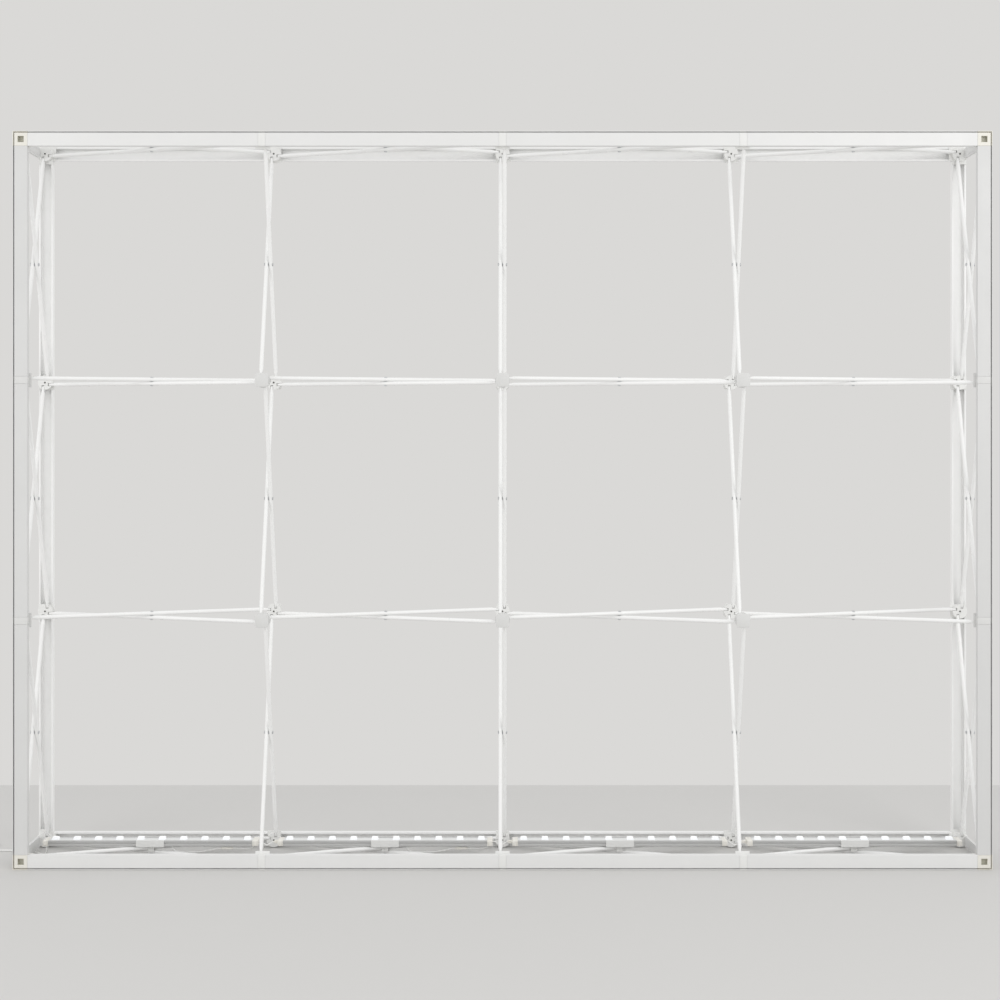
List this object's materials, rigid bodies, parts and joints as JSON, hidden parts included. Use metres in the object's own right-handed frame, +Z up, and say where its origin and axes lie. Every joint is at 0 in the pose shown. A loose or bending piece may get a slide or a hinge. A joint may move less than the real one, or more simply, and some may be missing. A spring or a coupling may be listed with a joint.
{
  "type": "lightbox display wall",
  "caption": "Free-standing double-sided pop-up wall: folding scissor tube frame, hubs, clip-on channel bars round both faces for fabric graphics, and lens light bars along the bottom.",
  "frame": {"origin": "on the floor, at the middle of the frame's footprint", "axes": "+X along the wall's width, to the viewer's right; +Y through its depth, away from the viewer, so the front face looks along -Y; +Z up"},
  "size_m": [3.2741, 0.309, 2.264],
  "materials": {
    "white_powder_coat": "satin powder coat",
    "white_moulding": "fine matt moulding",
    "strut_grey_white": "matt",
    "light_bar_satin": "satin extrusion",
    "frosted_lens": "frosted, lit from inside",
    "end_cap_cream": "matt",
    "clip_white": "matt",
    "cord_white": "soft matt sheath"
  },
  "bodies": {
    "frame": {"scissor_row_1": "white_moulding", "scissor_row_2": "white_moulding", "scissor_row_3": "white_moulding", "scissor_row_4": "white_moulding", "cord_boot": "white_moulding", "mains_cord": "cord_white", "mains_cord_coil": "cord_white", "mains_plug": "white_moulding"},
    "front_bottom_bar_1_body": {"front_bottom_bar_1": "white_powder_coat"},
    "front_bottom_bar_2_body": {"front_bottom_bar_2": "white_powder_coat"},
    "front_bottom_bar_3_body": {"front_bottom_bar_3": "white_powder_coat"},
    "front_bottom_bar_4_body": {"front_bottom_bar_4": "white_powder_coat"},
    "front_top_bar_1_body": {"front_top_bar_1": "white_powder_coat"},
    "front_top_bar_2_body": {"front_top_bar_2": "white_powder_coat"},
    "front_top_bar_3_body": {"front_top_bar_3": "white_powder_coat"},
    "front_top_bar_4_body": {"front_top_bar_4": "white_powder_coat"},
    "front_left_bar_1_body": {"front_left_bar_1": "white_powder_coat"},
    "front_left_bar_2_body": {"front_left_bar_2": "white_powder_coat"},
    "front_left_bar_3_body": {"front_left_bar_3": "white_powder_coat"},
    "front_right_bar_1_body": {"front_right_bar_1": "white_powder_coat"},
    "front_right_bar_2_body": {"front_right_bar_2": "white_powder_coat"},
    "front_right_bar_3_body": {"front_right_bar_3": "white_powder_coat"},
    "back_bottom_bar_1_body": {"back_bottom_bar_1": "white_powder_coat"},
    "back_bottom_bar_2_body": {"back_bottom_bar_2": "white_powder_coat"},
    "back_bottom_bar_3_body": {"back_bottom_bar_3": "white_powder_coat"},
    "back_bottom_bar_4_body": {"back_bottom_bar_4": "white_powder_coat"},
    "back_top_bar_1_body": {"back_top_bar_1": "white_powder_coat"},
    "back_top_bar_2_body": {"back_top_bar_2": "white_powder_coat"},
    "back_top_bar_3_body": {"back_top_bar_3": "white_powder_coat"},
    "back_top_bar_4_body": {"back_top_bar_4": "white_powder_coat"},
    "back_left_bar_1_body": {"back_left_bar_1": "white_powder_coat"},
    "back_left_bar_2_body": {"back_left_bar_2": "white_powder_coat"},
    "back_left_bar_3_body": {"back_left_bar_3": "white_powder_coat"},
    "back_right_bar_1_body": {"back_right_bar_1": "white_powder_coat"},
    "back_right_bar_2_body": {"back_right_bar_2": "white_powder_coat"},
    "back_right_bar_3_body": {"back_right_bar_3": "white_powder_coat"},
    "light_1_body": {"light_bar_1": "light_bar_satin", "light_strip_1": "frosted_lens", "left_end_cap_1": "end_cap_cream", "right_end_cap_1": "end_cap_cream", "light_clip_1": "clip_white"},
    "light_2_body": {"light_bar_2": "light_bar_satin", "light_strip_2": "frosted_lens", "left_end_cap_2": "end_cap_cream", "right_end_cap_2": "end_cap_cream", "light_clip_2": "clip_white"},
    "light_3_body": {"light_bar_3": "light_bar_satin", "light_strip_3": "frosted_lens", "left_end_cap_3": "end_cap_cream", "right_end_cap_3": "end_cap_cream", "light_clip_3": "clip_white"},
    "light_4_body": {"light_bar_4": "light_bar_satin", "light_strip_4": "frosted_lens", "left_end_cap_4": "end_cap_cream", "right_end_cap_4": "end_cap_cream", "light_clip_4": "clip_white"},
    "lower_left_strut_body": {"lower_left_strut": "strut_grey_white"},
    "lower_right_strut_body": {"lower_right_strut": "strut_grey_white"},
    "upper_left_strut_body": {"upper_left_strut": "strut_grey_white"},
    "upper_right_strut_body": {"upper_right_strut": "strut_grey_white"}
  },
  "joints": [
    {"name": "front_bottom_bar_1_pull_off", "type": "slide", "parent": "frame", "child": "front_bottom_bar_1_body", "axis": [0, -1, 0], "range_m": [0, 0.06]},
    {"name": "front_bottom_bar_2_pull_off", "type": "slide", "parent": "frame", "child": "front_bottom_bar_2_body", "axis": [0, -1, 0], "range_m": [0, 0.06]},
    {"name": "front_bottom_bar_3_pull_off", "type": "slide", "parent": "frame", "child": "front_bottom_bar_3_body", "axis": [0, -1, 0], "range_m": [0, 0.06]},
    {"name": "front_bottom_bar_4_pull_off", "type": "slide", "parent": "frame", "child": "front_bottom_bar_4_body", "axis": [0, -1, 0], "range_m": [0, 0.06]},
    {"name": "front_top_bar_1_pull_off", "type": "slide", "parent": "frame", "child": "front_top_bar_1_body", "axis": [0, -1, 0], "range_m": [0, 0.06]},
    {"name": "front_top_bar_2_pull_off", "type": "slide", "parent": "frame", "child": "front_top_bar_2_body", "axis": [0, -1, 0], "range_m": [0, 0.06]},
    {"name": "front_top_bar_3_pull_off", "type": "slide", "parent": "frame", "child": "front_top_bar_3_body", "axis": [0, -1, 0], "range_m": [0, 0.06]},
    {"name": "front_top_bar_4_pull_off", "type": "slide", "parent": "frame", "child": "front_top_bar_4_body", "axis": [0, -1, 0], "range_m": [0, 0.06]},
    {"name": "front_left_bar_1_pull_off", "type": "slide", "parent": "frame", "child": "front_left_bar_1_body", "axis": [0, -1, 0], "range_m": [0, 0.06]},
    {"name": "front_left_bar_2_pull_off", "type": "slide", "parent": "frame", "child": "front_left_bar_2_body", "axis": [0, -1, 0], "range_m": [0, 0.06]},
    {"name": "front_left_bar_3_pull_off", "type": "slide", "parent": "frame", "child": "front_left_bar_3_body", "axis": [0, -1, 0], "range_m": [0, 0.06]},
    {"name": "front_right_bar_1_pull_off", "type": "slide", "parent": "frame", "child": "front_right_bar_1_body", "axis": [0, -1, 0], "range_m": [0, 0.06]},
    {"name": "front_right_bar_2_pull_off", "type": "slide", "parent": "frame", "child": "front_right_bar_2_body", "axis": [0, -1, 0], "range_m": [0, 0.06]},
    {"name": "front_right_bar_3_pull_off", "type": "slide", "parent": "frame", "child": "front_right_bar_3_body", "axis": [0, -1, 0], "range_m": [0, 0.06]},
    {"name": "back_bottom_bar_1_pull_off", "type": "slide", "parent": "frame", "child": "back_bottom_bar_1_body", "axis": [0, 1, 0], "range_m": [0, 0.06]},
    {"name": "back_bottom_bar_2_pull_off", "type": "slide", "parent": "frame", "child": "back_bottom_bar_2_body", "axis": [0, 1, 0], "range_m": [0, 0.06]},
    {"name": "back_bottom_bar_3_pull_off", "type": "slide", "parent": "frame", "child": "back_bottom_bar_3_body", "axis": [0, 1, 0], "range_m": [0, 0.06]},
    {"name": "back_bottom_bar_4_pull_off", "type": "slide", "parent": "frame", "child": "back_bottom_bar_4_body", "axis": [0, 1, 0], "range_m": [0, 0.06]},
    {"name": "back_top_bar_1_pull_off", "type": "slide", "parent": "frame", "child": "back_top_bar_1_body", "axis": [0, 1, 0], "range_m": [0, 0.06]},
    {"name": "back_top_bar_2_pull_off", "type": "slide", "parent": "frame", "child": "back_top_bar_2_body", "axis": [0, 1, 0], "range_m": [0, 0.06]},
    {"name": "back_top_bar_3_pull_off", "type": "slide", "parent": "frame", "child": "back_top_bar_3_body", "axis": [0, 1, 0], "range_m": [0, 0.06]},
    {"name": "back_top_bar_4_pull_off", "type": "slide", "parent": "frame", "child": "back_top_bar_4_body", "axis": [0, 1, 0], "range_m": [0, 0.06]},
    {"name": "back_left_bar_1_pull_off", "type": "slide", "parent": "frame", "child": "back_left_bar_1_body", "axis": [0, 1, 0], "range_m": [0, 0.06]},
    {"name": "back_left_bar_2_pull_off", "type": "slide", "parent": "frame", "child": "back_left_bar_2_body", "axis": [0, 1, 0], "range_m": [0, 0.06]},
    {"name": "back_left_bar_3_pull_off", "type": "slide", "parent": "frame", "child": "back_left_bar_3_body", "axis": [0, 1, 0], "range_m": [0, 0.06]},
    {"name": "back_right_bar_1_pull_off", "type": "slide", "parent": "frame", "child": "back_right_bar_1_body", "axis": [0, 1, 0], "range_m": [0, 0.06]},
    {"name": "back_right_bar_2_pull_off", "type": "slide", "parent": "frame", "child": "back_right_bar_2_body", "axis": [0, 1, 0], "range_m": [0, 0.06]},
    {"name": "back_right_bar_3_pull_off", "type": "slide", "parent": "frame", "child": "back_right_bar_3_body", "axis": [0, 1, 0], "range_m": [0, 0.06]},
    {"name": "light_1_lift", "type": "slide", "parent": "frame", "child": "light_1_body", "axis": [0, 0, 1], "range_m": [0, 0.1]},
    {"name": "light_2_lift", "type": "slide", "parent": "frame", "child": "light_2_body", "axis": [0, 0, 1], "range_m": [0, 0.1]},
    {"name": "light_3_lift", "type": "slide", "parent": "frame", "child": "light_3_body", "axis": [0, 0, 1], "range_m": [0, 0.1]},
    {"name": "light_4_lift", "type": "slide", "parent": "frame", "child": "light_4_body", "axis": [0, 0, 1], "range_m": [0, 0.1]},
    {"name": "lower_left_strut_swing", "type": "hinge", "parent": "frame", "child": "lower_left_strut_body", "pos_m": [-1.494, 0.0947, 0.023], "axis": [-1, 0, 0], "range_deg": [0, 90]},
    {"name": "lower_right_strut_swing", "type": "hinge", "parent": "frame", "child": "lower_right_strut_body", "pos_m": [1.494, 0.0947, 0.023], "axis": [-1, 0, 0], "range_deg": [0, 90]},
    {"name": "upper_left_strut_swing", "type": "hinge", "parent": "frame", "child": "upper_left_strut_body", "pos_m": [-1.494, 0.0947, 2.241], "axis": [1, 0, 0], "range_deg": [0, 90]},
    {"name": "upper_right_strut_swing", "type": "hinge", "parent": "frame", "child": "upper_right_strut_body", "pos_m": [1.494, 0.0947, 2.241], "axis": [1, 0, 0], "range_deg": [0, 90]}
  ]
}
